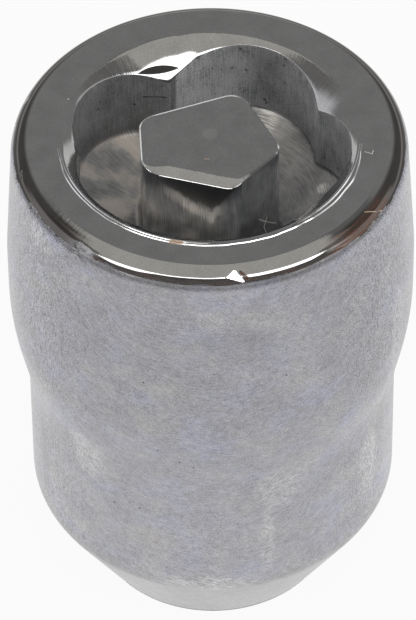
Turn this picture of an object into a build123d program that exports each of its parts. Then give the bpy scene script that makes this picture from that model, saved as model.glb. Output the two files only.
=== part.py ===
from build123d import *
import os
from math import cos, radians, sin, tan

# A locking wheel nut, forged in one piece. It stands on the small end of its tapered seat, with
# the wheel stud's axis along +Z and the origin at the centre of that end. Sizes in millimetres.

# Outside of the nut
overall_height = 34.0
body_radius = 11.0            # plain part above the seat
flare_step = 1.0              # the barrel stands this far proud of the body
rim_taper = 0.5               # the barrel narrows by this much up to the rim
rim_taper_length = 8.5        # from the flat of the rim down to the barrel's full radius
barrel_length = 5.0           # stretch of full radius
flare_length = 5.0            # from the body's radius out to the barrel's
seat_angle = 60.0             # included angle of the tapered seat
seat_round = 2.0              # seat into body
flare_foot_round = 15.0       # body into flare
flare_head_round = 20.0       # flare into barrel
barrel_round = 10.0           # barrel into the rim's taper
rim_bevel = 1.2               # radial width of the bevel around the rim
rim_bevel_slope = 30.0        # its angle to the flat of the rim
rim_round = 1.1               # bevel into the barrel's side
rim_edge_round = 0.25         # flat into the bevel

# Tapped hole for the stud, open at the small end
thread_diameter = 12.0
thread_pitch = 1.5
entry_clearance = 0.3         # the countersink opens this far past the thread
entry_angle = 90.0            # included angle of the countersink
drill_point_angle = 118.0
web = 1.7                     # metal between the drill point and the floor cone's tip
nose_land = 0.9               # ring between the countersink and the seat
nose_break = 0.25             # height of the bevel between that ring and the seat

# Key pocket: a lobed well around a five-sided post, each corner of which faces a lobe
lobe_directions = (156.0, 64.7, -10.0, -69.0, -146.0)   # degrees from +X
post_directions = (158.5, 65.5, -8.0, -72.5, -148.0)
post_corner_reach = (4.52, 4.44, 4.37, 4.32, 4.55)      # axis to each corner of the post
post_corner_round = 1.0       # upright edges of the post
post_drop = 0.2               # the post's top lies this far below the rim
post_bevel = 0.55             # width of the bevel around the post's top, seen from above
post_bevel_slope = 27.0       # its angle to that top
post_edge_round = 0.35        # bevel into the post's sides
lobe_reach = 8.24             # axis to the outermost point of each lobe
lobe_radius = 4.92
cusp_round = 0.45             # upright edges between two lobes
well_depth = 5.3              # rim to the floor's outer edge
floor_dish = 22.0             # the floor falls towards the post at this angle
root_round = 0.6              # floor's outer edge, into the lobes
lip_width = 0.45              # the lip opens this far past the lobes
lip_outer_slope = 37.0        # the lip's slope at the rim
lip_inner_slope = 52.0        # and where it ends, inside the cusps
lip_crown = 13.0              # radius of the lip's section

# Derived sizes
barrel_radius = body_radius + flare_step
rim_radius = barrel_radius - rim_taper
bore_radius = (thread_diameter - thread_pitch) / 2
entry_radius = thread_diameter / 2 + entry_clearance
nose_radius = entry_radius + nose_land
seat_height = (body_radius - nose_radius) / tan(radians(seat_angle / 2))
taper_start = overall_height - rim_taper_length
flare_end = taper_start - barrel_length
flare_start = flare_end - flare_length
floor_edge = overall_height - well_depth
floor_tip = floor_edge - lobe_reach * tan(radians(floor_dish))
drill_point = bore_radius / tan(radians(drill_point_angle / 2))
bore_end = floor_tip - web - drill_point
entry_depth = (entry_radius - bore_radius) / tan(radians(entry_angle / 2))


def turned(*outline):
    """Solid of revolution about the stud's axis, from a closed outline of (radius, height)."""
    face = make_face(Curve() + list(outline))
    return revolve(Plane.XZ * face, Axis.Z)


def forged_blank():
    """Seat, body, flare and barrel, still without the hole and the pocket."""
    bevel_foot = overall_height - rim_bevel * tan(radians(rim_bevel_slope))
    corners = [
        (nose_radius + nose_break * tan(radians(seat_angle / 2)), nose_break),
        (body_radius, seat_height),
        (body_radius, flare_start),
        (barrel_radius, flare_end),
        (barrel_radius, taper_start),
        (rim_radius, bevel_foot),
        (rim_radius - rim_bevel, overall_height),
        (0, overall_height),
    ]
    rounds = [
        seat_round, flare_foot_round, flare_head_round, barrel_round, rim_round, rim_edge_round,
    ]
    side = FilletPolyline(*corners, radius=rounds)
    nose = Polyline(corners[-1], (0, 0), (nose_radius - nose_break, 0), corners[0])
    return turned(side, nose)


def stud_hole():
    """Tap-drill bore with its countersunk mouth and its drill point."""
    outline = [
        (0, 0),
        (entry_radius, 0),
        (bore_radius, entry_depth),
        (bore_radius, bore_end),
        (0, bore_end + drill_point),
    ]
    return turned(Polyline(*outline, close=True))


def key_post():
    """Five-sided post from the floor cone's tip up, with a bevel around its top."""
    corners = [
        (reach * cos(radians(angle)), reach * sin(radians(angle)))
        for angle, reach in zip(post_directions, post_corner_reach)
    ]
    section = make_face(Polyline(*corners, close=True))
    section = fillet(section.vertices(), post_corner_round)
    post_top = overall_height - post_drop
    bevel_drop = post_bevel * tan(radians(post_bevel_slope))
    post = extrude(Pos(0, 0, floor_tip) * section, post_top - floor_tip)
    top = post.faces().sort_by(Axis.Z)[-1]
    post = chamfer(top.edges(), length=post_bevel, length2=bevel_drop, reference=top)
    bevel_foot = post.edges().group_by(Axis.Z)[-3]      # below the edges of its top and its seams
    return fillet(bevel_foot, post_edge_round)


def lobed_well():
    """Upright walls of five lobes, closed by the dished floor of a turned punch."""
    lobe = Pos(lobe_reach - lobe_radius, 0) * Rot(0, 0, 180) * Circle(lobe_radius)
    section = Sketch() + [Rot(0, 0, angle) * lobe for angle in lobe_directions]
    section = fillet(section.vertices(), cusp_round)
    walls = extrude(Pos(0, 0, floor_tip) * section, overall_height - floor_tip)
    punch = [(0, floor_tip), (lobe_reach, floor_edge), (lobe_reach, overall_height)]
    punch_end = FilletPolyline(*punch, radius=root_round)
    return walls & turned(punch_end, Polyline(punch[-1], (0, overall_height), punch[0]))


def lead_in_lip():
    """Crowned countersink that leads the key into the well, widest over the cusps."""
    centre_radius = lobe_reach + lip_width + lip_crown * sin(radians(lip_outer_slope))
    centre_height = overall_height - lip_crown * cos(radians(lip_outer_slope))

    def on_crown(slope):
        return (
            centre_radius - lip_crown * sin(radians(slope)),
            centre_height + lip_crown * cos(radians(slope)),
        )

    outer = on_crown(lip_outer_slope)
    middle = on_crown((lip_outer_slope + lip_inner_slope) / 2)
    inner = on_crown(lip_inner_slope)
    crown = ThreePointArc(outer, middle, inner)
    return turned(crown, Polyline(inner, (0, inner[1]), (0, overall_height), outer))


def key_pocket():
    """Space that the key enters, around the post."""
    return lobed_well() + lead_in_lip() - key_post()


nut = forged_blank() - stud_hole() - key_pocket()
os.makedirs("parts", exist_ok=True)
export_step(nut, "parts/locking_nut.step")
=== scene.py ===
from math import atan, atan2, cos, degrees, exp, hypot, pi, radians, sin, sqrt, tan

import bpy
from mathutils import Matrix, Vector, noise


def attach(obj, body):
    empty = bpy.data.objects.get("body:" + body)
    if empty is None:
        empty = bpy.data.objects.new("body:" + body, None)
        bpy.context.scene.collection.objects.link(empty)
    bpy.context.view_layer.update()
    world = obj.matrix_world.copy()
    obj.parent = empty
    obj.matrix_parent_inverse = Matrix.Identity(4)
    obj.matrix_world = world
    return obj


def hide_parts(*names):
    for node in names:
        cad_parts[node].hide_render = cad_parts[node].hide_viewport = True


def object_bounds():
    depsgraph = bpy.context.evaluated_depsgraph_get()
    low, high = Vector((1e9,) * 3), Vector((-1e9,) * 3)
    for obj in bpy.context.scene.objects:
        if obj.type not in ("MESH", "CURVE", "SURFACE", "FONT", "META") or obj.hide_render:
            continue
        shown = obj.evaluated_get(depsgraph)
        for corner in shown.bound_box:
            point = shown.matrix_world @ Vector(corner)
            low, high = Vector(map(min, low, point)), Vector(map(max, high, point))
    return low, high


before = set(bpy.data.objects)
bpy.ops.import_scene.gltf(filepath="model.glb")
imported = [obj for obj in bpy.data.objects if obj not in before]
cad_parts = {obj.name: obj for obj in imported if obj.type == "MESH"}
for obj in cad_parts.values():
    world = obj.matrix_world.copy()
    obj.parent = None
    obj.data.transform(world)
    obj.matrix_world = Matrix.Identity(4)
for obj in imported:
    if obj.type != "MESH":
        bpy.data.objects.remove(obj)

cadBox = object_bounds()
mm = 0.001
nutTop = cadBox[1].z / mm
barrelRadius = cadBox[1].x / mm
weldGap = 0.001 * mm


# One output of a shader node. Operators on it add Math nodes, node() adds any other kind
class Wire:
    def __init__(self, tree, socket=None):
        self.tree = tree
        self.socket = socket

    def node(self, kind, settings=None, inputs=None, output=0):
        made = self.tree.nodes.new("ShaderNode" + kind)
        for name, value in (settings or {}).items():
            setattr(made, name, value)
        for name, value in (inputs or {}).items():
            if isinstance(value, Wire):
                self.tree.links.new(value.socket, made.inputs[name])
            else:
                made.inputs[name].default_value = value
        return Wire(self.tree, made.outputs[output] if len(made.outputs) else None)

    def math(self, operation, *values):
        return self.node("Math", {"operation": operation}, dict(enumerate(values)))

    def __add__(self, other):
        return self.math("ADD", self, other)

    def __sub__(self, other):
        return self.math("SUBTRACT", self, other)

    def __rsub__(self, other):
        return self.math("SUBTRACT", other, self)

    def __mul__(self, other):
        return self.math("MULTIPLY", self, other)

    def __truediv__(self, other):
        return self.math("DIVIDE", self, other)

    __radd__ = __add__
    __rmul__ = __mul__

    def size(self):
        return self.math("ABSOLUTE", self)

    def ease(self, start, end):  # 0 before start, 1 after end, smooth between
        ends = {"Value": self, "From Min": start, "From Max": end}
        return self.node("MapRange", {"interpolation_type": "SMOOTHSTEP"}, ends)

    def around(self, middle, soft):  # the same, about a middle
        return self.ease(middle - soft, middle + soft)

    def within(self, low, high, soft):  # 1 between low and high, with soft ends
        return self.around(low, soft) * (1 - self.around(high, soft))

    def swing(self):  # noise, counted from its middle
        return self - 0.5

    def vector(self, operation, *values, output=0):
        kind = {"operation": operation}
        return self.node("VectorMath", kind, dict(enumerate(values)), output)

    def parts(self):
        split = self.node("SeparateXYZ", inputs={"Vector": self}).socket.node
        return [Wire(self.tree, socket) for socket in split.outputs]

    def cloud(self, grain, detail=2.0, rough=0.5, warp=0.0):  # noise with this grain in X, Y, Z
        stretched = self.vector("DIVIDE", self, grain)
        look = {"Vector": stretched, "Scale": 1.0, "Detail": detail, "Roughness": rough, "Distortion": warp}
        return self.node("TexNoise", inputs=look)

    def away(self, point):  # distance to a point
        return self.vector("DISTANCE", self, point, output=1)

    def awayFromStretch(self, start, end):  # distance to a straight stretch
        offset, along = self.vector("SUBTRACT", self, start), Vector(end) - Vector(start)
        reach = self.vector("DOT_PRODUCT", offset, along / along.length_squared, output=1)
        reach = self.math("MINIMUM", self.math("MAXIMUM", reach, 0.0), 1.0)
        nearest = self.node("VectorMath", {"operation": "SCALE"}, {0: along, 3: reach})
        return offset.away(nearest)

    def point(self, x, y, z):
        return self.node("CombineXYZ", inputs={"X": x, "Y": y, "Z": z})

    def scaled(self, factor):  # a colour or vector times a value
        return self.node("VectorMath", {"operation": "SCALE"}, {0: self, 3: factor})

    def toward(self, other, share):  # this value at share 0, the other at 1
        return self + (other - self) * share

    def tint(self, first, second):  # first colour at 0, second at 1
        return self.node("Mix", {"data_type": "RGBA"}, {0: self, 6: first, 7: second}, output=2)


def rgb(red, green, blue):
    return (red, green, blue, 1.0)


def grey(level):
    return rgb(level, level, level)


def newMaterial(name):
    material = bpy.data.materials.new(name)
    material.use_nodes = True
    material.node_tree.nodes.clear()
    wire = Wire(material.node_tree)
    place = wire.node("TexCoord", output="Object")
    return material, place.vector("DIVIDE", place, (mm, mm, mm))


def angleOf(x, y):  # from +X, in degrees
    return x.math("ARCTAN2", y, x) * degrees(1)


# Place without its height, distance from the axis, and a place whose noise runs with or across the radius
def polarOf(place, rayLength):
    flat = place.vector("MULTIPLY", place, (1.0, 1.0, 0.0))
    radius = flat.vector("LENGTH", flat, output=1)
    rayX, rayY, level = flat.vector("NORMALIZE", flat).scaled(rayLength).parts()
    return flat, radius, place.point(rayX, rayY, radius)


toneRange = (0.15, 0.85)  # of mixed noises, from the dark colour to the pale one


def strand(place, start, end, width, edge):  # 1 on a straight stretch, 0 past its soft edge
    return 1 - place.awayFromStretch(start, end).ease(width * edge[0], width * edge[1])


def finishMetal(wire, base, roughness, height, depth, metallic=1.0):
    bump = wire.node("Bump", inputs={"Strength": 1.0, "Distance": depth * mm, "Height": height})
    look = {"Base Color": base, "Metallic": metallic, "Roughness": roughness, "Normal": bump}
    shader = wire.node("BsdfPrincipled", inputs=look)
    wire.node("OutputMaterial", inputs={"Surface": shader})


# Sizes of the nut, in millimetres and degrees. They are those of the solid that it replaces, but for the
# rim's bevel and the post, which follow the photograph more closely
nut = {
    "turnSteps": 480, "smoothAngle": 34.0,
    # points on the straight runs and on the rounds of the section
    "sideRuns": (1, 5, 5, 3, 3, 6, 1, 3), "sideArcs": (2, 5, 5, 5, 3, 22, 3), "lipSteps": 12,
    "pocketRuns": (1, 6, 7, 5), "pocketArcs": (4, 6, 5), "topSteps": 5,
    "noseRadius": 7.2, "noseBreak": 0.25, "noseRound": 0.1, "entryRadius": 6.3,
    "bodyRadius": 11.0, "seatHalfAngle": 30.0,
    "flareStart": 15.5, "flareEnd": 20.5, "taperStart": 25.5, "rimTaper": 0.5,
    "seatRound": 2.0, "flareFootRound": 15.0, "flareHeadRound": 20.0, "barrelRound": 10.0,
    "rimBevel": 15.0, "rimBevelStart": 10.42, "rimBevelRound": 0.2, "rimRound": 1.3,
    "lobeDirections": (156.0, 64.7, -10.0, -69.0, -146.0), "lobeReach": 8.24, "lobeRadius": 4.92,
    "cuspRound": 0.45, "wellDepth": 5.3, "floorDish": 22.0, "wallRoot": 0.5,
    "lipWidth": 0.45, "lipSlope": 37.0, "lipCrown": 13.0, "lipEdgeRound": 0.1,
    "postDirections": (158.7, 64.2, -14.0, -70.8, -147.5), "postReach": (4.4, 4.18, 4.38, 4.33, 4.66),
    "postCornerRound": 1.1, "postDrop": 0.2, "postRoot": 0.3,
    # bevel around the post's top, worn unevenly: angle from +X, width, slope
    "postBevel": ((-153.0, 0.08, 41.0), (-149.0, 0.1, 27.0), (-136.0, 0.6, 27.0), (-72.0, 0.6, 27.0),
                  (-61.0, 0.16, 27.0), (-45.0, 0.1, 40.0),
                  (45.0, 0.06, 40.0), (66.0, 0.12, 20.3), (147.0, 0.12, 20.3), (172.0, 0.08, 41.0),
                  (207.0, 0.08, 41.0)),
    "postBevelFront": 0.6, "postBevelRagged": 0.12, "raggedGrain": 1.5, "raggedSeed": 7.3,
    "postLand": 0.02, "postLandSlope": 43.0,  # thin facet under that bevel
    "postZone": 5.0, "postEdge": 0.45, "postEdgeFacing": (0.1, 0.995),  # where the faces of the bevel lie
}


def heading(degrees):
    return Vector((cos(radians(degrees)), sin(radians(degrees))))


def between(start, end, count):  # points after start, up to end
    return [start.lerp(end, step / count) for step in range(1, count + 1)]


def arcCentre(before, corner, after, radius):  # of the arc that rounds a corner
    back, on = (before - corner).normalized(), (after - corner).normalized()
    return corner + (back + on).normalized() * radius / sin(back.angle(on) / 2)


# Corner of an outline as an arc, from its first tangent point to its last
def roundCorner(before, corner, after, radius, count):
    back, on = (before - corner).normalized(), (after - corner).normalized()
    half = back.angle(on) / 2
    centre = arcCentre(before, corner, after, radius)
    first = corner + back * radius / tan(half) - centre
    last = corner + on * radius / tan(half) - centre
    sweep = -first.angle_signed(last)
    return [centre + Matrix.Rotation(sweep * step / count, 2) @ first for step in range(count + 1)]


# Straight runs of an outline cut into pieces, with its inner corners rounded
def outline(corners, rounds, runs, arcs):
    points = [corners[0]]
    for index, (radius, run, arc) in enumerate(zip(rounds, runs, arcs), start=1):
        bend = roundCorner(corners[index - 1], corners[index], corners[index + 1], radius, arc)
        points += between(points[-1], bend[0], run) + bend[1:]
    return points + between(points[-1], corners[-1], runs[-1])


# Distance from the axis to the far or near side of a circle, along a heading
def reachOf(circle, ray, far):
    centre, radius = circle
    across = centre.x * ray.y - centre.y * ray.x
    half = sqrt(max(radius ** 2 - across ** 2, 0.0))
    return centre.dot(ray) + (half if far else -half)


def meetCircles(first, second, radius):  # point at that distance from both, outside of the pair
    middle, across = (first + second) / 2, (second - first) / 2
    outward = Vector((-across.y, across.x)).normalized()
    outward = outward if outward.dot(middle) > 0 else -outward
    return middle + outward * sqrt(radius ** 2 - across.length_squared)


def isBetween(ray, start, end):  # headings, less than half a turn apart
    def turn(a, b):
        return a.x * b.y - a.y * b.x
    return turn(start, ray) * turn(ray, end) > 0 and ray.dot(start + end) > 0


# Lobed wall of the key well: five circles, with the upright edges between them rounded
class Well:
    def __init__(self):
        self.lobes = [heading(a) * (nut["lobeReach"] - nut["lobeRadius"]) for a in nut["lobeDirections"]]
        self.cusps = []
        for first, second in zip(self.lobes, self.lobes[1:] + self.lobes[:1]):
            tip = meetCircles(first, second, nut["lobeRadius"] + nut["cuspRound"])
            ends = [lobe + (tip - lobe).normalized() * nut["lobeRadius"] for lobe in (first, second)]
            self.cusps.append((tip, ends))

    def radius(self, ray):
        for tip, (start, end) in self.cusps:
            if isBetween(ray, start, end):
                return reachOf((tip, nut["cuspRound"]), ray, far=False)
        ahead = [lobe for lobe in self.lobes if lobe.dot(ray) > 0]
        return max(reachOf((lobe, nut["lobeRadius"]), ray, far=True) for lobe in ahead)


# Five-sided post in the well, with rounded upright edges
class Post:
    def __init__(self):
        corners = [heading(a) * r for a, r in zip(nut["postDirections"], nut["postReach"])]
        self.bends = []
        for index, corner in enumerate(corners):
            before, after = corners[index - 1], corners[(index + 1) % len(corners)]
            turn = (before, corner, after, nut["postCornerRound"])
            bend = roundCorner(*turn, 2)
            self.bends.append((arcCentre(*turn), bend[0], bend[-1]))
        self.flats = list(zip(corners, corners[1:] + corners[:1]))

    def radius(self, ray, inset=0.0):
        radius = nut["postCornerRound"] - inset
        for centre, start, end in self.bends:
            ends = [centre + (point - centre) * radius / nut["postCornerRound"] for point in (start, end)]
            if isBetween(ray, *ends):
                return reachOf((centre, radius), ray, far=True)
        cuts = []
        for start, end in self.flats:
            normal = Vector((end.y - start.y, start.x - end.x)).normalized()
            normal = normal if normal.dot(start) > 0 else -normal
            if normal.dot(ray) > 0:
                cuts.append((normal.dot(start) - inset) / normal.dot(ray))
        return min(cuts)


well, post = Well(), Post()
floorTip = nutTop - nut["wellDepth"] - nut["lobeReach"] * tan(radians(nut["floorDish"]))
postTop = nutTop - nut["postDrop"]
lipRadius = nut["lobeReach"] + nut["lipWidth"]
lipCentre = Vector((lipRadius + nut["lipCrown"] * sin(radians(nut["lipSlope"])),
                    nutTop - nut["lipCrown"] * cos(radians(nut["lipSlope"]))))


def floorHeight(radius):
    return floorTip + radius * tan(radians(nut["floorDish"]))


def lipHeight(radius):
    return lipCentre.y + sqrt(nut["lipCrown"] ** 2 - (lipCentre.x - radius) ** 2)


# Pressed-up inner edge of the rim: two fine ridges with a groove between, wider at the right
ridges = {"sink": 0.08, "height": 0.042, "groove": 0.034, "grooveFloor": 0.06, "crest": 0.03,
          "outerSlope": 43.0, "innerSlope": 37.0, "rightShare": 0.5, "rightAngle": -32.0,
          "rightSpread": 24.0, "inset": 1.0, "leastSpread": 0.6, "front": (0.05, 0.3),
          "ragged": 0.25, "raggedGrain": 7.0, "raggedSeed": 3.1,
          "innerGap": (-86.0, -60.0), "innerFade": 14.0}  # stretch without the inner ridge, in degrees
ridges["grooveLift"] = ridges["height"] - ridges["groove"]
rimFlat = nutTop - ridges["sink"]


def ridgeCorners():  # from the flat of the rim in to the lip
    outward = 1 / tan(radians(ridges["outerSlope"]))
    grooveEnd = lipRadius + ridges["crest"] + ridges["groove"] * outward
    grooveStart = grooveEnd + ridges["grooveFloor"]
    crestEnd = grooveStart + ridges["groove"] / tan(radians(ridges["innerSlope"]))
    crest, groove = rimFlat + ridges["height"], rimFlat + ridges["grooveLift"]
    return [Vector(p) for p in [
        (crestEnd + ridges["crest"] + ridges["height"] * outward, rimFlat),
        (crestEnd + ridges["crest"], crest), (crestEnd, crest),
        (grooveStart, groove), (grooveEnd, groove),
        (lipRadius + ridges["crest"], crest), (lipRadius, crest)]]


def sideCorners():  # from the nose up to the bevel of the rim
    seatTan = tan(radians(nut["seatHalfAngle"]))
    rimEdge = barrelRadius - nut["rimTaper"]
    return [Vector(p) for p in [
        (nut["noseRadius"] - nut["noseBreak"], 0),
        (nut["noseRadius"] + nut["noseBreak"] * seatTan, nut["noseBreak"]),
        (nut["bodyRadius"], (nut["bodyRadius"] - nut["noseRadius"]) / seatTan),
        (nut["bodyRadius"], nut["flareStart"]),
        (barrelRadius, nut["flareEnd"]),
        (barrelRadius, nut["taperStart"]),
        (rimEdge, rimFlat - (rimEdge - nut["rimBevelStart"]) * tan(radians(nut["rimBevel"]))),
        (nut["rimBevelStart"], rimFlat)]]


# Outside of the nut, up to the inner edge of the flat rim
def sideOutline():
    names = ("nose", "seat", "flareFoot", "flareHead", "barrel", "rim", "rimBevel")
    rounds = [nut[name + "Round"] for name in names]
    side = outline(sideCorners() + ridgeCorners()[:1], rounds, nut["sideRuns"], nut["sideArcs"])
    return side + ridgeCorners()[1:]


def postBevelAt(angle):  # its width and slope
    angle = angle + 360 if angle < nut["postBevel"][0][0] else angle
    for (start, *first), (end, *last) in zip(nut["postBevel"], nut["postBevel"][1:]):
        if start <= angle <= end:
            share = (angle - start) / (end - start)
            return [a + (b - a) * share for a, b in zip(first, last)]


# Whole section at one heading: outside, lip, well wall, floor, post and its top
def nutSection(angle, side):
    ray = heading(angle)
    wallRadius, postRadius = well.radius(ray), post.radius(ray)
    bevel, slope = postBevelAt(angle)
    front = bevel / nut["postBevelFront"]  # 1 on the post's front, about 0 behind
    land = nut["postLand"] * front
    lipEnd = wallRadius + 2 * nut["lipEdgeRound"]
    lip = between(Vector((lipRadius, 0)), Vector((lipEnd, 0)), nut["lipSteps"])
    lip = [Vector((p.x, lipHeight(p.x))) for p in lip]
    landTop = postTop - (bevel - land) * tan(radians(slope))
    landFoot = landTop - land * tan(radians(nut["postLandSlope"]))
    corners = [lip[-1],
               Vector((wallRadius, lipHeight(wallRadius))),
               Vector((wallRadius, floorHeight(wallRadius))),
               Vector((postRadius, floorHeight(postRadius))),
               Vector((postRadius, landFoot))]
    rounds = (nut["lipEdgeRound"], nut["wallRoot"], nut["postRoot"])
    pocket = outline(corners, rounds, nut["pocketRuns"], nut["pocketArcs"])
    ragged = noise.noise(Vector((angle / nut["raggedGrain"], nut["raggedSeed"], 0)))
    bevel *= 1 + nut["postBevelRagged"] * ragged * front
    crown = [Vector((post.radius(ray, land), landTop)), Vector((post.radius(ray, bevel), postTop))]
    return side + lip + pocket[1:] + crown + between(crown[-1], Vector((0, postTop)), nut["topSteps"])


def toMode(name):
    bpy.ops.object.mode_set(mode=name)


def pickAll(action):
    bpy.ops.mesh.select_all(action=action)


# A chain of points, extruded one from the other and spun about Z
def spinChain(name, points, steps):
    bpy.ops.object.select_all(action="DESELECT")
    bpy.ops.mesh.primitive_plane_add(size=mm)
    piece = bpy.context.object
    piece.name = name
    toMode("EDIT")
    bpy.ops.mesh.select_mode(type="VERT")
    pickAll("SELECT")
    bpy.ops.mesh.merge(type="CENTER")
    at = Vector((0, 0, 0))
    for index, point in enumerate(points):
        step = Vector((point.x, 0, point.y)) * mm - at
        if index == 0:
            bpy.ops.transform.translate(value=step)
        else:
            bpy.ops.mesh.extrude_region_move(TRANSFORM_OT_translate={"value": step})
        at += step
    toMode("OBJECT")
    station = piece.data.attributes.new("station", "INT", "POINT")
    station.data.foreach_set("value", range(len(points)))
    toMode("EDIT")
    pickAll("SELECT")
    bpy.ops.mesh.spin(steps=steps, angle=2 * pi, center=(0, 0, 0), axis=(0, 0, 1))
    pickAll("SELECT")
    bpy.ops.mesh.remove_doubles(threshold=weldGap)
    toMode("OBJECT")
    return piece


def stationsOf(piece):
    values = [0] * len(piece.data.vertices)
    piece.data.attributes["station"].data.foreach_get("value", values)
    return values


# Marks of use on the rim: angles from +X, sizes in millimetres
damage = {
    "wave": 0.006, "waveGrain": 0.9, "waveBelow": 2.5,
    # three-cornered flat struck off the front edge
    "chipAngle": -83.0, "chipTilt": 42.6, "chipLean": -1.0, "chipDepth": 0.06, "chipLeft": 0.56,
    "chipRight": 0.34, "chipHeight": 0.44, "chipSkew": 0.7, "chipNear": 1.1, "chipCuts": 3,
    "chipReach": 0.9, "chipTurn": 1.5,  # its faces lie this near and turn this little from its flat
    # angle, height, width, depth
    "dents": ((-131.0, 33.1, 0.95, 0.14), (-167.0, 33.45, 0.45, 0.08), (-154.0, 33.2, 0.3, 0.05),
              (160.0, 33.4, 0.5, 0.09)),
    "dentBelow": 2.0, "dentSquash": 1.5, "dentEven": 0.6, "dentRagged": 0.9, "dentWaves": 6.0,
}
roundCentre = arcCentre(*sideCorners()[-3:], nut["rimRound"])  # middle of the rim's rounded edge


def ridgeSwell(angle):  # how far the ridges stand up here: none on the back half
    rightward = exp(-((angle - ridges["rightAngle"]) / ridges["rightSpread"]) ** 2)
    ragged = noise.noise(Vector((angle / ridges["raggedGrain"], ridges["raggedSeed"], 0)))
    start, end = ridges["front"]
    front = min(max((-sin(radians(angle)) - start) / (end - start), 0.0), 1.0)
    return front * (1 + ridges["rightShare"] * rightward + ridges["ragged"] * ragged)


def innerShare(angle):  # of the inner ridge's height
    start, end = ridges["innerGap"]
    return min(max(max(start - angle, angle - end) / ridges["innerFade"], 0.0), 1.0)


# A point of the section, with the rim's wear worked in
def wornPoint(point, angle, station, ridgeStations, lipStations):
    ray = heading(angle)
    place = Vector((ray.x * point.x, ray.y * point.x, point.y))
    swell = ridgeSwell(angle)
    if station in ridgeStations:
        lift = (place.z - rimFlat) * swell
        if station > ridgeStations[-3]:  # the inner ridge
            groove = ridges["grooveLift"] * swell
            lift = groove + (lift - groove) * innerShare(angle)
        spread = lipRadius + (point.x - lipRadius) * max(swell, ridges["leastSpread"])
        place = Vector((ray.x * spread, ray.y * spread, min(rimFlat + lift, nutTop)))
    elif station in lipStations:
        top = ridges["grooveLift"] + ridges["groove"] * innerShare(angle)
        place.z = min(place.z, rimFlat + top * swell)
    if place.z > rimFlat - damage["waveBelow"] and station <= lipStations[-1]:
        place.z -= damage["wave"] * (0.5 + 0.5 * noise.noise(place / damage["waveGrain"]))
    if station < ridgeStations[0] and place.z > rimFlat - damage["dentBelow"]:
        place = dented(place, angle, point.x)
    return place


def chipNormal():
    tilt = radians(damage["chipTilt"])
    return Vector((*(heading(damage["chipAngle"] + damage["chipLean"]) * sin(tilt)), cos(tilt)))


def fromChip(place):  # offset from the chip's middle, before it was struck
    out = heading(damage["chipAngle"])
    middle = Vector((out.x * roundCentre.x, out.y * roundCentre.x, roundCentre.y))
    return place - middle - chipNormal() * nut["rimRound"]


def chipped(place):
    offset, normal = fromChip(place), chipNormal()
    out = heading(damage["chipAngle"])
    across = Vector((-out.y, out.x, 0))
    down = offset.dot(across.cross(normal))
    along = offset.dot(across) - damage["chipSkew"] * down + damage["chipLeft"]
    share = along / (damage["chipLeft"] + damage["chipRight"])
    above = offset.dot(normal) + damage["chipDepth"]
    inside = 0 < share < 1 and abs(down) < damage["chipHeight"] * share
    return place - normal * above if inside and above > 0 else place


def dented(place, angle, radius):
    for dentAngle, height, width, depth in damage["dents"]:
        turn = (angle - dentAngle + 180) % 360 - 180
        offset = Vector((radians(turn) * radius, (place.z - height) * damage["dentSquash"]))
        far = offset.length / width
        if far < 1:
            ragged = damage["dentRagged"] * noise.noise(place * damage["dentWaves"])
            push = depth * (1 - far) * (damage["dentEven"] + ragged)
            place = place - Vector((place.x, place.y, 0)).normalized() * max(push, 0.0)
    return place


def makeNut():
    side = sideOutline()
    piece = spinChain("locking_nut_chrome", nutSection(0, side), nut["turnSteps"])
    flatEnd = nut["rimBevelStart"] - ridges["inset"]
    ridgeStart = next(i for i, p in enumerate(side) if p.y > nut["taperStart"] and p.x < flatEnd)
    ridgeStations = range(ridgeStart, len(side))
    lipStations = range(len(side), len(side) + nut["lipSteps"])
    sections = {}
    for vertex, station in zip(piece.data.vertices, stationsOf(piece)):
        angle = degrees(atan2(vertex.co.y, vertex.co.x))
        step = round(angle * nut["turnSteps"] / 360) % nut["turnSteps"]
        angle = (step * 360 / nut["turnSteps"] + 180) % 360 - 180
        if step not in sections:
            sections[step] = nutSection(angle, side)
        point = sections[step][station]
        vertex.co = wornPoint(point, angle, station, ridgeStations, lipStations) * mm
    print("nut spun:", len(piece.data.vertices), "points, section of", len(sections[0]))
    return piece


def strikeChip(piece):
    def isNear(place):
        return fromChip(place / mm).length < damage["chipNear"]

    toMode("EDIT")
    bpy.ops.mesh.select_mode(type="FACE")
    pickAll("DESELECT")
    toMode("OBJECT")
    for face in piece.data.polygons:
        face.select = isNear(face.center)
    toMode("EDIT")
    bpy.ops.mesh.subdivide(number_cuts=damage["chipCuts"])
    toMode("OBJECT")
    for vertex in piece.data.vertices:
        if isNear(vertex.co):
            vertex.co = chipped(vertex.co / mm) * mm
    print("chip struck:", len(piece.data.vertices), "points")


# Tapped hole: countersink, right-handed thread and drill point
tap = {"turnSteps": 160, "majorRadius": 6.0, "minorRadius": 5.25, "pitch": 1.5, "runOut": 3.0,
       "end": 20.516, "drillHalfAngle": 59.0, "stationsPerPitch": 10, "tipSteps": 6,
       "flankStart": 0.22, "flankSpan": 0.62, "noseLevel": 0.01}


def threadDepth(height, turn):
    wave = abs(2 * ((height / tap["pitch"] - turn) % 1.0) - 1)
    flank = min(max((wave - tap["flankStart"]) / tap["flankSpan"], 0.0), 1.0)
    fade = min(max((tap["end"] - height) / tap["runOut"], 0.0), 1.0)
    return (tap["majorRadius"] - tap["minorRadius"]) * flank * fade


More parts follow.
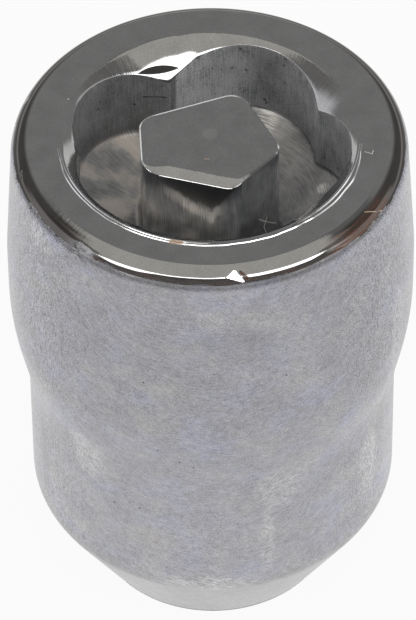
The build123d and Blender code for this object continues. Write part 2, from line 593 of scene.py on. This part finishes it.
def makeTappedHole():
    count = round(tap["end"] / tap["pitch"] * tap["stationsPerPitch"])
    wall = [Vector((nut["entryRadius"], 0))]
    wall += [Vector((tap["minorRadius"], tap["end"] * step / count)) for step in range(1, count + 1)]
    tip = Vector((0, tap["end"] + tap["minorRadius"] / tan(radians(tap["drillHalfAngle"]))))
    piece = spinChain("tapped_hole", wall + between(wall[-1], tip, tap["tipSteps"]), tap["turnSteps"])
    for vertex, station in zip(piece.data.vertices, stationsOf(piece)):
        if 0 < station < len(wall):
            turn = atan2(vertex.co.y, vertex.co.x) / (2 * pi)
            height = vertex.co.z / mm
            mouth = nut["entryRadius"] - height
            radius = max(mouth, tap["minorRadius"] + threadDepth(height, turn))
            vertex.co.xy *= radius / tap["minorRadius"]
    print("tapped hole spun:", len(piece.data.vertices), "points")
    return piece


# The hole joins the nut at the flat ring on its nose
def joinAtNose(piece, hole):
    bpy.ops.object.select_all(action="DESELECT")
    hole.select_set(True)
    piece.select_set(True)
    bpy.context.view_layer.objects.active = piece
    bpy.ops.object.join()
    toMode("EDIT")
    bpy.ops.mesh.select_mode(type="EDGE")
    pickAll("DESELECT")
    toMode("OBJECT")
    mesh = piece.data
    for edge in mesh.edges:
        edge.select = all(mesh.vertices[index].co.z < tap["noseLevel"] * mm for index in edge.vertices)
    toMode("EDIT")
    bpy.ops.mesh.fill()
    pickAll("SELECT")
    bpy.ops.mesh.normals_make_consistent(inside=False)
    toMode("OBJECT")
    bpy.ops.object.shade_smooth_by_angle(angle=radians(nut["smoothAngle"]))
    for face in mesh.polygons:
        if isCut(face):
            face.use_smooth = False
    print("nut joined:", len(mesh.polygons), "faces")


# Faces with crisp borders: the chip in the rim and the bevel around the post's top
def isCut(face):
    return onPostEdge(face) or isChip(face)


def onPostEdge(face):
    centre, (steep, level) = face.center / mm, nut["postEdgeFacing"]
    inZone = centre.xy.length < nut["postZone"] and centre.z > postTop - nut["postEdge"]
    return inZone and steep < face.normal.z < level


def isChip(face):
    isNear = fromChip(face.center / mm).length < damage["chipReach"]
    return isNear and face.normal.angle(chipNormal()) < radians(damage["chipTurn"])


# Radius of the outside at a height, for marks that lie on it
def sideRadius(height):
    for low, high in zip(sideOutline(), sideOutline()[1:]):
        if low.y <= height <= high.y:
            return low.lerp(high, (height - low.y) / max(high.y - low.y, 0.001)).x
    return barrelRadius


def onSide(angle, height):
    return Vector((*(heading(angle) * sideRadius(height)), height))


# Satin plating on the sides: short wiped scratches in three directions, cool and warm patches, a few pits,
# with painted highlights, painted dark reflections and painted lighter towards the foot
platedSideLook = {
    "base": rgb(0.372, 0.368, 0.39), "cool": rgb(0.362, 0.366, 0.425), "coolFrom": (0.45, 0.72),
    "warm": rgb(0.396, 0.387, 0.386), "warmFrom": (0.48, 0.75), "roughness": 0.27, "bump": 0.002,
    "patchGrain": (3.2, 3.2, 2.4), "patchNoise": (3.0, 0.6), "patchShift": (31.0, 17.0, 5.0),
    "patchDepth": 0.3, "streakWidth": 0.07, "streakLength": 0.5, "streakNoise": (2.0, 0.6, 0.8),
    "streakDepth": 0.95, "streakEven": 0.5, "sweep": 1.2, "slant": 0.9, "slantFrom": (0.5, 0.62),
    "uprightShare": 0.8, "gritGrain": 0.075, "gritDepth": 1.0, "mottleGrain": 0.4, "mottleDepth": 0.4,
    "edge": (6.0, 10.5), "edgeGain": 1.2,
    # the body is painted lighter below its middle, as painted light
    "lowerPaintedLight": 0.1, "lowHeights": (10.0, 22.0),
    # pale rubbed places, one of them a painted highlight, and dark places that are painted shade and
    # reflections: angle, height, half width in degrees, half height, strength
    "scuffsAndGlow": ((-132.0, 15.7, 9.0, 2.6, 1.0), (-32.0, 12.3, 7.0, 3.2, 0.95), (-148.0, 32.0, 8.0, 1.0, 0.8),
               (-73.0, 10.8, 3.0, 3.8, 0.7), (-70.0, 15.0, 9.0, 2.4, 0.6), (-24.0, 22.5, 6.0, 5.0, 0.6),
               # the last of these, low on the seat, is a painted highlight rather than a rubbed place
               (-93.0, 6.9, 20.0, 1.0, 0.9)),
    # painted dark reflections near the left and right edges, and a darker band painted as shade under the
    # rim's front
    "paintedDarks": ((-157.0, 11.0, 5.0, 3.2, 0.8), (-25.0, 15.0, 4.0, 2.6, 0.7), (-84.0, 28.5, 20.0, 1.6, 0.35)),
    "paintedDarkColour": rgb(0.25, 0.25, 0.265), "scuffAndGlowColour": rgb(0.54, 0.535, 0.535),
    "rubSoft": (0.1, 1.0), "rubStreak": (0.35, 0.65),
    # angle, height
    "pits": ((-99.8, 18.37), (-106.1, 19.27), (-122.4, 12.55), (-109.3, 25.17), (-69.1, 25.55),
             (-109.2, 2.9), (-95.8, 17.96), (-113.5, 12.91)),
    "pitEdge": (0.03, 0.078), "pitColour": rgb(0.06, 0.055, 0.05),
    "seat": rgb(0.36, 0.355, 0.363), "seatTop": 7.2, "seatSoft": 0.9, "seatRagged": 2.0,
}


def platedSide():
    look = platedSideLook
    material, place = newMaterial("plated_side")
    x, y, z = place.parts()
    angle = angleOf(x, y)
    long, wide, kind = look["streakLength"], look["streakWidth"], look["streakNoise"]
    swept = place.point(x, y, z - y * look["sweep"]).cloud((long, long, wide), *kind)
    slanted = place.point(x, y, z + x * look["slant"]).cloud((long, long, wide), *kind)
    upright = place.cloud((wide, wide, long), *kind)
    grit, mottle = place.cloud((look["gritGrain"],) * 3, 1.0), place.cloud((look["mottleGrain"],) * 3, 2.0)
    shifted = place.vector("ADD", place, look["patchShift"])
    patch, otherPatch = [at.cloud(look["patchGrain"], *look["patchNoise"]) for at in (place, shifted)]
    edge = x.size().ease(*look["edge"])
    wipe = swept.toward(slanted, otherPatch.ease(*look["slantFrom"]))
    wipe = wipe.toward(upright, edge * look["uprightShare"])
    base = patch.ease(*look["coolFrom"]).tint(look["base"], look["cool"])
    base = otherPatch.ease(*look["warmFrom"]).tint(base, look["warm"])
    onSeat = 1 - (z + mottle.swing() * look["seatRagged"]).around(look["seatTop"], look["seatSoft"])
    base = onSeat.tint(base, look["seat"])
    for places, shade in (("scuffsAndGlow", "scuffAndGlowColour"), ("paintedDarks", "paintedDarkColour")):
        for middle, height, halfWidth, halfHeight, strength in look[places]:
            across, up = (angle - middle) / halfWidth, (z - height) / halfHeight
            inside = 1 - (across * across + up * up).ease(*look["rubSoft"])
            base = (inside * wipe.ease(*look["rubStreak"]) * strength).tint(base, look[shade])
    streaks = wipe.swing() * (look["streakDepth"] * (look["streakEven"] + patch))
    shade = (streaks + grit.swing() * look["gritDepth"]) * (1 + edge * look["edgeGain"])
    shade = shade + mottle.swing() * look["mottleDepth"] + (patch + otherPatch - 1) * look["patchDepth"]
    shade = 1 + shade + (1 - z.ease(*look["lowHeights"])) * look["lowerPaintedLight"]
    base = base.scaled(shade)
    for pitAngle, height in look["pits"]:
        pit = 1 - place.away(onSide(pitAngle, height)).ease(*look["pitEdge"])
        base = pit.tint(base, look["pitColour"])
    finishMetal(place, base, look["roughness"], wipe + grit, look["bump"])
    return material


# Bright dark-chrome finish of the rim, the lip and the post's top
crownLook = {
    "base": rgb(0.39, 0.39, 0.386), "pale": rgb(0.46, 0.46, 0.455), "roughness": 0.05,
    "rayLength": 10.0, "grain": 0.09, "fineFrom": (0.25, 0.75), "fineDepth": 0.0002,
    "streak": (0.07, 0.07, 1.6), "streakDepth": 0.0012, "toneGrain": 1.3, "toneDepth": 0.35,
    # scraped stretches
    "combs": ((25.0, 56.0), (124.0, 145.0), (-160.0, -128.0)), "combGain": 5.0, "combSoft": 5.0,
    "combRadius": (5.0, 6.0),
    "dent": {"angle": 114.0, "halfTurn": 10.2, "radius": 7.33, "lean": 0.0146, "halfWidth": 0.18,
             "depth": 0.075, "soft": 0.12},
    # rounded outer edge, painted dark brown as shade but for its front
    "edge": (10.55, 10.8), "brightEdge": (-132.0, -48.0), "edgeSoft": 6.0, "edgeShade": 0.9,
    "edgeShadeColour": rgb(0.1, 0.09, 0.082),
    "rust": rgb(0.16, 0.075, 0.05), "rustGrain": (1.2, 1.2, 0.05), "rustFrom": (0.52, 0.6),
    "rustEven": 0.3, "rustSoft": (3.0, 0.08), "rustRadius": (9.2, 9.8), "rustDull": 0.6,
    "rustZones": (((-128.0, -45.0), (33.2, 33.46), 0.7), ((-52.0, -26.0), (33.25, 33.8), 1.0)),
    "flake": ((-2.22, -8.56, 33.94), (-1.72, -8.64, 33.95)), "flakeWidth": 0.17,
    "flakeColour": rgb(0.55, 0.4, 0.3), "fibreEdge": (0.6, 1.3),
    "fibres": (  # start, end, half width, colour
        ((-8.27, 3.16, 33.95), (-7.75, 3.18, 33.7), 0.035, rgb(0.75, 0.74, 0.72)),
        ((8.96, -1.48, 33.92), (9.37, -1.64, 33.92), 0.03, rgb(0.7, 0.69, 0.67)),
        ((9.37, -1.64, 33.92), (9.43, -1.39, 33.92), 0.035, rgb(0.7, 0.69, 0.67)),
        ((8.82, -6.24, 33.8), (9.6, -5.9, 33.5), 0.03, rgb(0.6, 0.48, 0.36)),
        ((9.6, -5.9, 33.5), (10.17, -5.32, 33.04), 0.03, rgb(0.6, 0.48, 0.36)),
        ((1.66, -10.84, 33.76), (2.07, -11.1, 33.45), 0.11, rgb(0.13, 0.075, 0.055)),
        ((-0.28, -1.8, 33.8), (-0.05, -1.8, 33.8), 0.03, rgb(0.6, 0.42, 0.33)),
    ),
    "spot": (0.02, 0.25, 33.8), "spotEdge": (0.364, 0.52), "spotColour": rgb(0.5, 0.495, 0.49),
}


def polishedCrown():
    look = crownLook
    material, place = newMaterial("polished_crown")
    x, y, z = place.parts()
    flat, radius, polar = polarOf(place, look["rayLength"])
    angle = angleOf(x, y)
    streak, fine = polar.cloud(look["streak"]), place.cloud((look["grain"],) * 3)
    base = fine.ease(*look["fineFrom"]).tint(look["base"], look["pale"])
    lines = polar.cloud(look["rustGrain"]).ease(*look["rustFrom"])
    lines = look["rustEven"] + lines * (1 - look["rustEven"])
    turnSoft, heightSoft = look["rustSoft"]
    rust = 0.0
    for angles, heights, strength in look["rustZones"]:
        rust = rust + angle.within(*angles, turnSoft) * z.within(*heights, heightSoft) * lines * strength
    rust = rust * radius.ease(*look["rustRadius"])
    # the rounded outer edge is painted dark as shade, except at its front
    dull = 1 - angle.within(*look["brightEdge"], look["edgeSoft"])
    edge = radius.ease(*look["edge"]) * dull * look["edgeShade"]
    base = edge.tint(base, look["edgeShadeColour"])
    base = rust.tint(base, look["rust"])
    scraped = 0.0
    for angles in look["combs"]:
        scraped = scraped + angle.within(*angles, look["combSoft"]) * radius.ease(*look["combRadius"])
    spot = 1 - place.away(look["spot"]).ease(*look["spotEdge"])
    base = spot.tint(base, look["spotColour"])
    metallic = 1 - rust * look["rustDull"]
    tone = place.cloud((look["toneGrain"],) * 3, 3.0)
    base = base.scaled(1 + tone.swing() * look["toneDepth"])
    flake = (*look["flake"], look["flakeWidth"], look["flakeColour"])
    for start, end, width, shade in (*look["fibres"], flake):
        fibre = strand(place, start, end, width, look["fibreEdge"])
        base = fibre.tint(base, shade)
        metallic = metallic * (1 - fibre)
    dent = look["dent"]
    along = (angle - dent["angle"]) / dent["halfTurn"]
    across = (radius - dent["radius"] - (angle - dent["angle"]) * dent["lean"]) / dent["halfWidth"]
    inside = (1 - along * along - across.size()).ease(0.0, dent["soft"])
    hollow = inside * (0.5 - across * 0.5) * -dent["depth"]
    height = streak * (1 + scraped * look["combGain"]) * look["streakDepth"]
    height = height + fine * look["fineDepth"] + hollow
    finishMetal(place, base, look["roughness"], height, 1.0, metallic)
    return material


# Upright walls of the key well: dull, with drawn streaks and dark specks, painted lighter at the back and
# right and palest beside the back cusp, with painted shade in the cusp
wallLook = {
    "pale": rgb(0.72, 0.73, 0.75), "dark": rgb(0.13, 0.132, 0.136), "metallic": 0.6, "roughness": 0.4,
    "bump": 0.007, "streak": (0.045, 0.045, 1.6), "streakNoise": (3.0, 0.7), "streakShare": 0.6,
    "patch": (1.4, 1.4, 1.6), "patchNoise": (3.0, 0.6), "patchShare": 0.4, "grain": 0.09, "fineShare": 0.35,
    "offset": 0.17, "speckGrain": 0.35, "speckFrom": (0.66, 0.74), "speckDepth": 0.8,
    # stretches painted lighter, as painted light: angle, half width, soft edge, gain
    "paintedLights": ((88.0, 26.0, (0.2, 1.0), 1.0), (10.0, 45.0, (0.4, 1.0), 0.6)),
    # a dark strip painted as shade in the back cusp
    "cusp": (106.5, 109.5), "cuspSoft": 0.7, "cuspShade": 0.6,
    "scratch": ((-3.86, 6.2, 31.07), (-2.54, 6.25, 30.96), 0.05), "scratchEdge": (0.6, 1.4),
    "scratchColour": grey(0.08),
}


def drawnWall():
    look = wallLook
    material, place = newMaterial("drawn_wall")
    x, y, z = place.parts()
    angle = angleOf(x, y)
    streak = place.cloud(look["streak"], *look["streakNoise"])
    patch = place.cloud(look["patch"], *look["patchNoise"])
    speck = place.cloud((look["speckGrain"],) * 3).ease(*look["speckFrom"])
    fine = place.cloud((look["grain"],) * 3, 1.0)
    mark = streak * look["streakShare"] + fine * look["fineShare"] + patch * look["patchShare"]
    base = (mark - look["offset"]).ease(*toneRange).tint(look["dark"], look["pale"])
    gain = 1.0
    for middle, halfWidth, edge, strength in look["paintedLights"]:
        gain = gain + (1 - ((angle - middle) / halfWidth).size().ease(*edge)) * strength
    base = base.scaled(gain * (1 - angle.within(*look["cusp"], look["cuspSoft"]) * look["cuspShade"]))
    scratch = strand(place, *look["scratch"], look["scratchEdge"])
    dark = base.math("MAXIMUM", scratch, speck * look["speckDepth"])
    base = dark.tint(base, look["scratchColour"])
    finishMetal(place, base, look["roughness"], streak, look["bump"], look["metallic"])
    return material


# Dished floor: burnished along the radius at the left, turned marks at the right
floorLook = {
    "dark": grey(0.17), "pale": rgb(0.64, 0.63, 0.62), "tan": rgb(0.75, 0.66, 0.56),
    "tanFrom": (0.42, 0.62), "tanDepth": 0.5, "metallic": 0.75, "roughness": 0.33, "bump": 0.007,
    "leftEdge": (-2.0, 2.0), "leftGain": 1.12, "rightGain": 0.85, "rayLength": 6.0,
    "radial": (0.06, 0.06, 1.0), "turned": (1.0, 1.0, 0.06), "markNoise": (3.0, 0.7, 0.3),
    "markShare": 0.65, "patch": (1.6, 1.6, 1.6), "patchShare": 0.6, "offset": 0.12,
    # bright rubbed places: x, y, half size
    "rubs": ((3.4, 6.7, 0.9), (-4.9, 6.1, 0.8), (6.6, 1.4, 0.5)), "rubColour": rgb(1.0, 0.97, 0.93),
    "rubSoft": 0.4, "rubMark": (0.38, 0.6),
}


def pocketFloor():
    look = floorLook
    material, place = newMaterial("pocket_floor")
    x, y, z = place.parts()
    flat, radius, polar = polarOf(place, look["rayLength"])
    radial, turned = [polar.cloud(look[name], *look["markNoise"]) for name in ("radial", "turned")]
    leftward = 1 - x.ease(*look["leftEdge"])
    mark = turned.toward(radial, leftward)
    patch = place.cloud(look["patch"], 3.0)
    tone = mark * look["markShare"] + patch * look["patchShare"] - look["offset"]
    base = tone.ease(*toneRange).tint(look["dark"], look["pale"])
    base = (leftward * patch.ease(*look["tanFrom"]) * look["tanDepth"]).tint(base, look["tan"])
    base = base.scaled(look["rightGain"] + leftward * (look["leftGain"] - look["rightGain"]))
    for rubX, rubY, size in look["rubs"]:
        near = 1 - flat.away((rubX, rubY, 0)).ease(size * look["rubSoft"], size)
        base = (near * mark.ease(*look["rubMark"])).tint(base, look["rubColour"])
    finishMetal(place, base, look["roughness"], mark, look["bump"], look["metallic"])
    return material


# Sides of the post: brighter than the walls, with thin upright streaks and a fibre at the foot, painted
# shade at the foot, and a painted dark reflection and highlight on the front
postSideLook = {
    "pale": rgb(0.6, 0.625, 0.66), "dark": rgb(0.2, 0.21, 0.22), "metallic": 0.9, "roughness": 0.16,
    "bump": 0.003, "streak": (0.04, 0.04, 1.8), "streakNoise": (3.0, 0.7), "streakShare": 0.8,
    "patch": (1.0, 1.0, 1.2), "patchShare": 0.6, "offset": 0.18, "foot": (29.5, 31.0), "footShade": 0.45,
    # dark wedge under the front edge, a painted dark reflection, with a pale band along its left side, a
    # painted highlight
    "wedgeTip": (0.1, 31.4), "wedgeSlopes": (0.55, 1.5), "wedgeColour": rgb(0.2, 0.205, 0.21),
    "wedgeSoft": 0.2, "ragged": 0.9, "front": (-3.2, -2.6), "band": 0.9, "bandSoft": 0.3,
    "bandEnd": (0.2, 0.9), "bandStreak": (0.2, 0.6), "bandColour": grey(1.0),
    "fibres": (((2.85, -2.56, 29.55), (3.32, -2.05, 28.82), (3.83, -1.51, 28.18)),
               ((3.3, -2.08, 29.27), (3.12, -2.27, 28.67), (3.27, -2.11, 27.91))),
    "fibreWidth": 0.035, "fibreEdge": (0.6, 1.4), "fibreColour": rgb(0.9, 0.89, 0.86),
}


def postSides():
    look = postSideLook
    material, place = newMaterial("post_sides")
    x, y, z = place.parts()
    streak, patch = place.cloud(look["streak"], *look["streakNoise"]), place.cloud(look["patch"])
    tone = streak * look["streakShare"] + patch * look["patchShare"] - look["offset"]
    base = tone.ease(*toneRange).tint(look["dark"], look["pale"])
    # painted shade at the post's foot
    base = base.scaled(1 - (1 - z.ease(*look["foot"])) * look["footShade"])
    # painted dark reflection and painted highlight band on the post's front
    front = 1 - y.ease(*look["front"])
    tip, height = look["wedgeTip"]
    left, right = look["wedgeSlopes"]
    rise = x.math("MAXIMUM", (tip - x) * left, (x - tip) * right)
    above = z - height - rise + (streak + patch - 1) * look["ragged"]
    band = above.within(-look["band"], 0.0, look["bandSoft"]) * (1 - x.ease(*look["bandEnd"]))
    band = band * streak.ease(*look["bandStreak"]) * front
    base = band.tint(base, look["bandColour"])
    wedge = above.around(0.0, look["wedgeSoft"]) * front
    base = wedge.tint(base, look["wedgeColour"])
    metallic = look["metallic"]
    for points in look["fibres"]:
        for start, end in zip(points, points[1:]):
            fibre = strand(place, start, end, look["fibreWidth"], look["fibreEdge"])
            base = fibre.tint(base, look["fibreColour"])
            metallic = metallic * (1 - fibre)
    finishMetal(place, base, look["roughness"], streak, look["bump"], metallic)
    return material


# Edges rubbed down to bright metal and painted near white as a highlight: the ridges around the well, the
# post's thin edges and the chip
wornHighlitLook = {
    "dark": grey(0.82), "pale": grey(0.95), "roughness": 0.16, "bump": 0.0003,
    # it lies around the ridges and on thin or steep parts of the post's bevel, but not at its right front
    "ridgeMargin": 0.15, "ridgeDepth": 0.1, "outward": 0.3, "thin": 0.13, "steep": 0.8,
    "dull": (-75.0, -14.0),
}
tapLook = {"dark": rgb(0.25, 0.24, 0.23), "pale": rgb(0.3, 0.29, 0.28), "roughness": 0.35,
           "bump": 0.001}
evenGrain, evenFrom = (0.1, 0.1, 0.1), (0.3, 0.7)


def evenMetal(name, look):
    material, place = newMaterial(name)
    fine = place.cloud(evenGrain)
    base = fine.ease(*evenFrom).tint(look["dark"], look["pale"])
    finishMetal(place, base, look["roughness"], fine, look["bump"])
    return material


def wornHighlitEdge():
    return evenMetal("worn_highlit_edge", wornHighlitLook)


def tappedSteel():
    return evenMetal("tapped_steel", tapLook)


def isWornOrHighlit(face):
    look, centre = wornHighlitLook, face.center / mm
    radius, angle = hypot(centre.x, centre.y), degrees(atan2(centre.y, centre.x))
    outward = face.normal.xy.dot(heading(angle))
    ridgeEnd = ridgeCorners()[0].x + look["ridgeMargin"]
    if lipRadius < radius < ridgeEnd and centre.z > rimFlat - look["ridgeDepth"]:
        flakeStart, flakeEnd = [Vector(end) for end in crownLook["flake"]]
        underFlake = (centre - (flakeStart + flakeEnd) / 2).length < (flakeEnd - flakeStart).length
        return centre.y < 0 and outward > look["outward"] and not underFlake
    if onPostEdge(face):
        nearEdge = post.radius(heading(angle)) - radius < 2 * nut["postLand"]
        onLand = nearEdge and face.normal.z < look["steep"]
        rightFront = look["dull"][0] < angle < look["dull"][1]
        return (postBevelAt(angle)[0] < look["thin"] or onLand) and not rightFront
    return isChip(face)


finishes = [platedSide, polishedCrown, drawnWall, pocketFloor, postSides, wornHighlitEdge]


# Which of those finishes a face of the nut has, by its place and slope. The bright crown ends unevenly
borders = {"level": 0.4, "crownFacing": 0.5, "crownRagged": 0.12, "crownDepth": 1.6, "lipDepth": 2.5}


def finishOf(face):
    centre = face.center / mm
    radius = hypot(centre.x, centre.y)
    onPost = radius < nut["postZone"]
    if isWornOrHighlit(face):
        return wornHighlitEdge
    if radius > lipRadius:
        crownEdge = borders["crownFacing"] + borders["crownRagged"] * noise.noise(centre)
        onCrown = face.normal.z > crownEdge and centre.z > nutTop - borders["crownDepth"]
        return polishedCrown if onCrown else platedSide
    if centre.z < nut["flareEnd"]:
        return platedSide
    if onPost and centre.z > postTop - nut["postEdge"]:
        return polishedCrown
    if abs(face.normal.z) <= borders["level"]:
        return postSides if onPost else drawnWall
    return polishedCrown if centre.z > nutTop - borders["lipDepth"] else pocketFloor


nutPiece = makeNut()
strikeChip(nutPiece)
for finish in finishes:
    nutPiece.data.materials.append(finish())
for face in nutPiece.data.polygons:
    face.material_index = finishes.index(finishOf(face))
holePiece = makeTappedHole()
holePiece.data.materials.append(tappedSteel())
joinAtNose(nutPiece, holePiece)
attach(nutPiece, "root")
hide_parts("locking_nut")
print("nut finished")


# Studio: pale floor, a light tent read by direction, and the photograph's camera
stage = {"size": 4000.0, "paper": grey(0.85), "glow": 0.93,
         "pool": (60.0, 150.0), "poolEdge": grey(0.4)}  # lit pool that the metal mirrors


def makeFloor():
    bpy.ops.object.select_all(action="DESELECT")
    bpy.ops.mesh.primitive_plane_add(size=stage["size"] * mm)
    floor = bpy.context.object
    floor.name = "pale_floor"
    material, place = newMaterial("pale_floor")
    path = place.node("LightPath").socket.node
    camera, mirror, glass = [Wire(place.tree, path.outputs[name]) for name in
                             ("Is Camera Ray", "Is Glossy Ray", "Is Transmission Ray")]
    shown = camera.math("MAXIMUM", camera.math("MAXIMUM", camera, mirror), glass)
    pool = place.away((0, 0, 0)).ease(*stage["pool"]) * (1 - camera)
    paper = place.node("BsdfDiffuse", inputs={"Color": stage["paper"]})
    white = place.node("Emission", inputs={"Color": pool.tint(grey(1), stage["poolEdge"])})
    mixed = place.node("MixShader", inputs={0: shown * stage["glow"], 1: paper, 2: white})
    place.node("OutputMaterial", inputs={"Surface": mixed})
    floor.data.materials.append(material)


# Light tent around the nut, by direction: height above the horizon and turn from the camera, in degrees
tent = {
    "wall": grey(0.32), "gap": grey(0.2), "gapFrom": 51.0, "gapSoft": 1.5,
    "sideWall": rgb(0.24, 0.235, 0.23), "sideTurn": (60.0, 76.0), "farTurn": (102.0, 112.0),
    "dusk": rgb(0.1, 0.095, 0.09), "skirt": grey(0.9), "skirtTo": 8.0, "skirtSoft": 2.0,
    "ceiling": rgb(0.645, 0.625, 0.59), "ceilingFar": (57.5, 62.0), "ceilingSide": 9.0,
    "ceilingTurn": (-20.0, 20.0), "ceilingSoft": (-0.8, 1.2),
    # soft box behind the camera: its upper edge sinks to both sides, and it is deeper there
    "box": grey(4.0), "boxTurn": (-64.0, 66.0), "boxTop": 50.0, "boxSag": 0.0029,
    "boxRise": 2.2, "riseTurn": (4.0, 18.0), "boxSoft": 0.6, "boxFootSoft": 0.8, "boxTurnSoft": 3.0,
    "boxDepth": 4.0, "depthSoft": 8.0, "leftDepth": 8.0, "leftTurn": (-60.0, -36.0),
    "rightDepth": 8.5, "rightTurn": (18.0, 62.0),
    "leftWindow": rgb(0.9, 0.9, 0.95), "leftWindowTurn": (-112.0, -66.0),
    "rightWindow": grey(1.1), "rightWindowTurn": (68.0, 112.0),
    # the windows' upper edge falls away from the camera
    "windowFoot": (0.0, 10.0), "windowTop": 52.5, "windowFall": 0.25, "windowSoft": 5.0,
    "windowTopSoft": 3.0,
}


def makeTent():
    world = bpy.data.worlds.new("light_tent")
    bpy.context.scene.world = world
    world.use_nodes = True
    world.node_tree.nodes.clear()
    wire = Wire(world.node_tree)
    x, y, z = wire.node("TexCoord", output="Generated").parts()
    height = z.math("ARCSINE", z) * degrees(1)
    turn = x.math("ARCTAN2", x, y * -1) * degrees(1)  # 0 behind the camera, positive to the right
    aside, behind = turn.size().ease(*tent["sideTurn"]), turn.size().ease(*tent["farTurn"])
    far = height.around(tent["gapFrom"], tent["gapSoft"]).tint(tent["wall"], tent["gap"])
    light = behind.tint(aside.tint(tent["dusk"], tent["sideWall"]), far)
    sunk = turn.math("MINIMUM", turn.size(), tent["boxTurn"][1])
    boxTop = tent["boxTop"] + turn.ease(*tent["riseTurn"]) * tent["boxRise"] - sunk * sunk * tent["boxSag"]
    leftFar, rightFar = tent["ceilingFar"]
    ceilingFar = leftFar + turn.ease(*tent["ceilingTurn"]) * (rightFar - leftFar)
    ceilingFrom = (boxTop + aside * tent["ceilingSide"]).toward(ceilingFar, behind)
    light = (height - ceilingFrom).ease(*tent["ceilingSoft"]).tint(light, tent["ceiling"])
    for name in ("leftWindow", "rightWindow"):
        reach = tent["windowTop"] - turn.size() * tent["windowFall"] - height
        patch = turn.within(*tent[name + "Turn"], tent["windowSoft"]) * height.ease(*tent["windowFoot"])
        light = (patch * reach.around(0.0, tent["windowTopSoft"])).tint(light, tent[name])
    light = (1 - height.around(tent["skirtTo"], tent["skirtSoft"])).tint(light, tent["skirt"])
    depth = tent["boxDepth"]
    for name in ("left", "right"):
        depth = depth + turn.within(*tent[name + "Turn"], tent["depthSoft"]) * tent[name + "Depth"]
    under = boxTop - height
    box = under.around(0.0, tent["boxSoft"]) * (depth - under).around(0.0, tent["boxFootSoft"])
    box = box * turn.within(*tent["boxTurn"], tent["boxTurnSoft"])
    light = box.tint(light, tent["box"])
    seen = wire.node("LightPath", output="Is Camera Ray")
    light = seen.tint(light, grey(1))
    shader = wire.node("Background", inputs={"Color": light, "Strength": 1.0})
    wire.node("OutputWorld", inputs={"Surface": shader})


shot = {
    "distance": 330.0, "elevation": 46.633, "roll": -0.65, "sideStep": -0.2,
    "lens": 318.9, "sensor": 36.0,  # long side of the frame
    "frame": (416, 620), "centreRow": 336.4,  # pixels: image size, and the row of the nut's centre
}


def makeCamera():
    camera = bpy.data.objects.new("camera", bpy.data.cameras.new("camera"))
    bpy.context.scene.collection.objects.link(camera)
    camera.data.lens = shot["lens"]
    camera.data.sensor_width = shot["sensor"]
    tilt = radians(shot["elevation"])
    centre = Vector((shot["sideStep"], 0, nutTop / 2)) * mm
    camera.location = centre + Vector((0, -cos(tilt), sin(tilt))) * shot["distance"] * mm
    drop = (shot["centreRow"] - shot["frame"][1] / 2) * shot["sensor"] / max(shot["frame"])
    camera.rotation_mode = "ZXY"  # roll first, then tilt
    pitch = pi / 2 - tilt + atan(drop / shot["lens"])
    camera.rotation_euler = (pitch, 0, radians(shot["roll"]))
    bpy.context.scene.camera = camera
    bpy.context.scene.view_settings.view_transform = "Standard"


makeFloor()
makeTent()
makeCamera()
print("studio ready")
